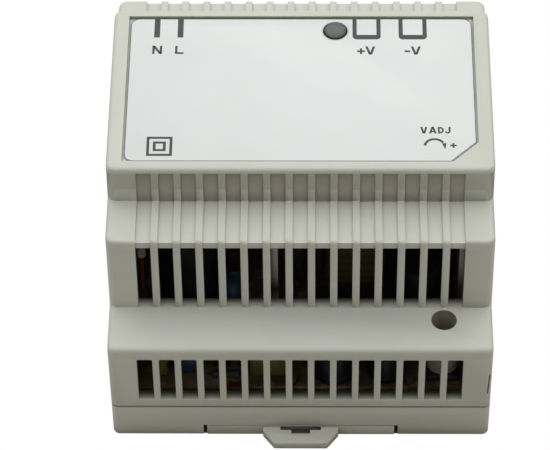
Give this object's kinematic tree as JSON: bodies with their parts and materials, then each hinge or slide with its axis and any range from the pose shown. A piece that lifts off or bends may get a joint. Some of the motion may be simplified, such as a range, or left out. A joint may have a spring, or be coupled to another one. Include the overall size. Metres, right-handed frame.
{
  "type": "din rail power supply",
  "caption": "Stepped grey DIN rail power supply with slotted vents, screw clamp terminals, voltage adjuster, status light and sliding rail latch.",
  "frame": {"origin": "centre of the flat face that rests on the rail, midway across the width and between the two end walls", "axes": "+Z from the rail to the front label, +Y to the terminal end, -Y to the rail latch, X across the width"},
  "size_m": [0.078, 0.0972, 0.0561],
  "materials": {
    "housing_grey": "fine moulded texture, warm light grey",
    "label_white": "smooth printed film",
    "circuit_board": "brown laminate",
    "terminal_moulding": "black moulding",
    "zinc_steel": "bright zinc plate",
    "tinned_brass": "tin plated",
    "aluminium": "dull mill finish sheet",
    "copper": "enamelled copper wire",
    "ferrite": "sintered ferrite",
    "ring_yellow": "coated iron powder ring",
    "phenolic": "black bobbin moulding",
    "winding_tape": "dull yellow polyester tape",
    "ceramic": "white ceramic",
    "film_yellow": "dull yellow moulded box",
    "dipped_blue": "blue dipped coating",
    "dipped_green": "dark green dipped coating",
    "sleeve_black": "black shrink sleeve",
    "sleeve_blue": "dark blue shrink sleeve",
    "package_black": "black epoxy",
    "trimmer_dark": "very dark blue moulding",
    "rotor_grey": "olive grey moulding",
    "lens": "dark smoked acrylic",
    "led": "clear green epoxy"
  },
  "bodies": {
    "housing": {"base_housing": "housing_grey", "front_cover": "housing_grey", "front_label": "label_white", "main_pcb": "circuit_board", "input_terminal_block": "terminal_moulding", "output_terminal_block": "terminal_moulding", "fuse": "ceramic", "x_capacitor": "film_yellow", "film_capacitor": "film_yellow", "varistor": "dipped_blue", "y_capacitor": "dipped_blue", "inrush_thermistor": "dipped_green", "bulk_capacitor": "sleeve_black", "output_capacitor_1": "sleeve_black", "output_capacitor_2": "sleeve_black", "filter_capacitor": "sleeve_blue", "supply_capacitor": "sleeve_blue", "control_ic": "package_black", "optocoupler": "package_black", "bridge_rectifier": "package_black", "choke_core": "ferrite", "choke_winding": "copper", "inductor_core": "ring_yellow", "inductor_winding": "copper", "transformer_core_lower": "ferrite", "transformer_core_upper": "ferrite", "transformer_bobbin": "phenolic", "transformer_winding": "winding_tape", "primary_heatsink": "aluminium", "secondary_heatsink": "aluminium", "switching_transistor": "package_black", "rectifier_diode": "package_black", "transistor_screw": "zinc_steel", "diode_screw": "zinc_steel", "trimmer_body": "trimmer_dark", "light_pipe": "lens", "indicator_led": "led", "neutral_contact": "tinned_brass", "line_contact": "tinned_brass", "plus_1_contact": "tinned_brass", "plus_2_contact": "tinned_brass", "minus_1_contact": "tinned_brass", "minus_2_contact": "tinned_brass"},
    "latch": {"rail_latch": "housing_grey"},
    "adjuster": {"trimmer_rotor": "rotor_grey"},
    "screw_neutral": {"neutral_screw": "zinc_steel"},
    "cage_neutral": {"neutral_clamp": "zinc_steel"},
    "screw_line": {"line_screw": "zinc_steel"},
    "cage_line": {"line_clamp": "zinc_steel"},
    "screw_plus_1": {"plus_1_screw": "zinc_steel"},
    "cage_plus_1": {"plus_1_clamp": "zinc_steel"},
    "screw_plus_2": {"plus_2_screw": "zinc_steel"},
    "cage_plus_2": {"plus_2_clamp": "zinc_steel"},
    "screw_minus_1": {"minus_1_screw": "zinc_steel"},
    "cage_minus_1": {"minus_1_clamp": "zinc_steel"},
    "screw_minus_2": {"minus_2_screw": "zinc_steel"},
    "cage_minus_2": {"minus_2_clamp": "zinc_steel"}
  },
  "joints": [
    {"name": "latch_slide", "type": "slide", "parent": "housing", "child": "latch", "axis": [0, -1, 0], "range_m": [0, 0.004]},
    {"name": "adjuster_turn", "type": "hinge", "parent": "housing", "child": "adjuster", "pos_m": [0.02915, -0.0385, 0.0108], "axis": [0, 0, 1], "range_deg": [-130, 130]},
    {"name": "neutral_screw_turn", "type": "hinge", "parent": "housing", "child": "screw_neutral", "pos_m": [-0.03, 0.0393, 0.0173], "axis": [0, 0, 1], "range_deg": [-1801, 0]},
    {"name": "neutral_cage_rise", "type": "slide", "parent": "housing", "child": "cage_neutral", "axis": [0, 0, 1], "range_m": [0, 0.0025]},
    {"name": "line_screw_turn", "type": "hinge", "parent": "housing", "child": "screw_line", "pos_m": [-0.025, 0.0393, 0.0173], "axis": [0, 0, 1], "range_deg": [-1801, 0]},
    {"name": "line_cage_rise", "type": "slide", "parent": "housing", "child": "cage_line", "axis": [0, 0, 1], "range_m": [0, 0.0025]},
    {"name": "plus_1_screw_turn", "type": "hinge", "parent": "housing", "child": "screw_plus_1", "pos_m": [0.0109, 0.0393, 0.0173], "axis": [0, 0, 1], "range_deg": [-1801, 0]},
    {"name": "plus_1_cage_rise", "type": "slide", "parent": "housing", "child": "cage_plus_1", "axis": [0, 0, 1], "range_m": [0, 0.0025]},
    {"name": "plus_2_screw_turn", "type": "hinge", "parent": "housing", "child": "screw_plus_2", "pos_m": [0.0159, 0.0393, 0.0173], "axis": [0, 0, 1], "range_deg": [-1801, 0]},
    {"name": "plus_2_cage_rise", "type": "slide", "parent": "housing", "child": "cage_plus_2", "axis": [0, 0, 1], "range_m": [0, 0.0025]},
    {"name": "minus_1_screw_turn", "type": "hinge", "parent": "housing", "child": "screw_minus_1", "pos_m": [0.0209, 0.0393, 0.0173], "axis": [0, 0, 1], "range_deg": [-1801, 0]},
    {"name": "minus_1_cage_rise", "type": "slide", "parent": "housing", "child": "cage_minus_1", "axis": [0, 0, 1], "range_m": [0, 0.0025]},
    {"name": "minus_2_screw_turn", "type": "hinge", "parent": "housing", "child": "screw_minus_2", "pos_m": [0.0259, 0.0393, 0.0173], "axis": [0, 0, 1], "range_deg": [-1801, 0]},
    {"name": "minus_2_cage_rise", "type": "slide", "parent": "housing", "child": "cage_minus_2", "axis": [0, 0, 1], "range_m": [0, 0.0025]}
  ],
  "couplings": [
    {"joint": "neutral_screw_turn", "follows": "neutral_cage_rise", "rad_per_m": -12566},
    {"joint": "line_screw_turn", "follows": "line_cage_rise", "rad_per_m": -12566},
    {"joint": "plus_1_screw_turn", "follows": "plus_1_cage_rise", "rad_per_m": -12566},
    {"joint": "plus_2_screw_turn", "follows": "plus_2_cage_rise", "rad_per_m": -12566},
    {"joint": "minus_1_screw_turn", "follows": "minus_1_cage_rise", "rad_per_m": -12566},
    {"joint": "minus_2_screw_turn", "follows": "minus_2_cage_rise", "rad_per_m": -12566}
  ]
}
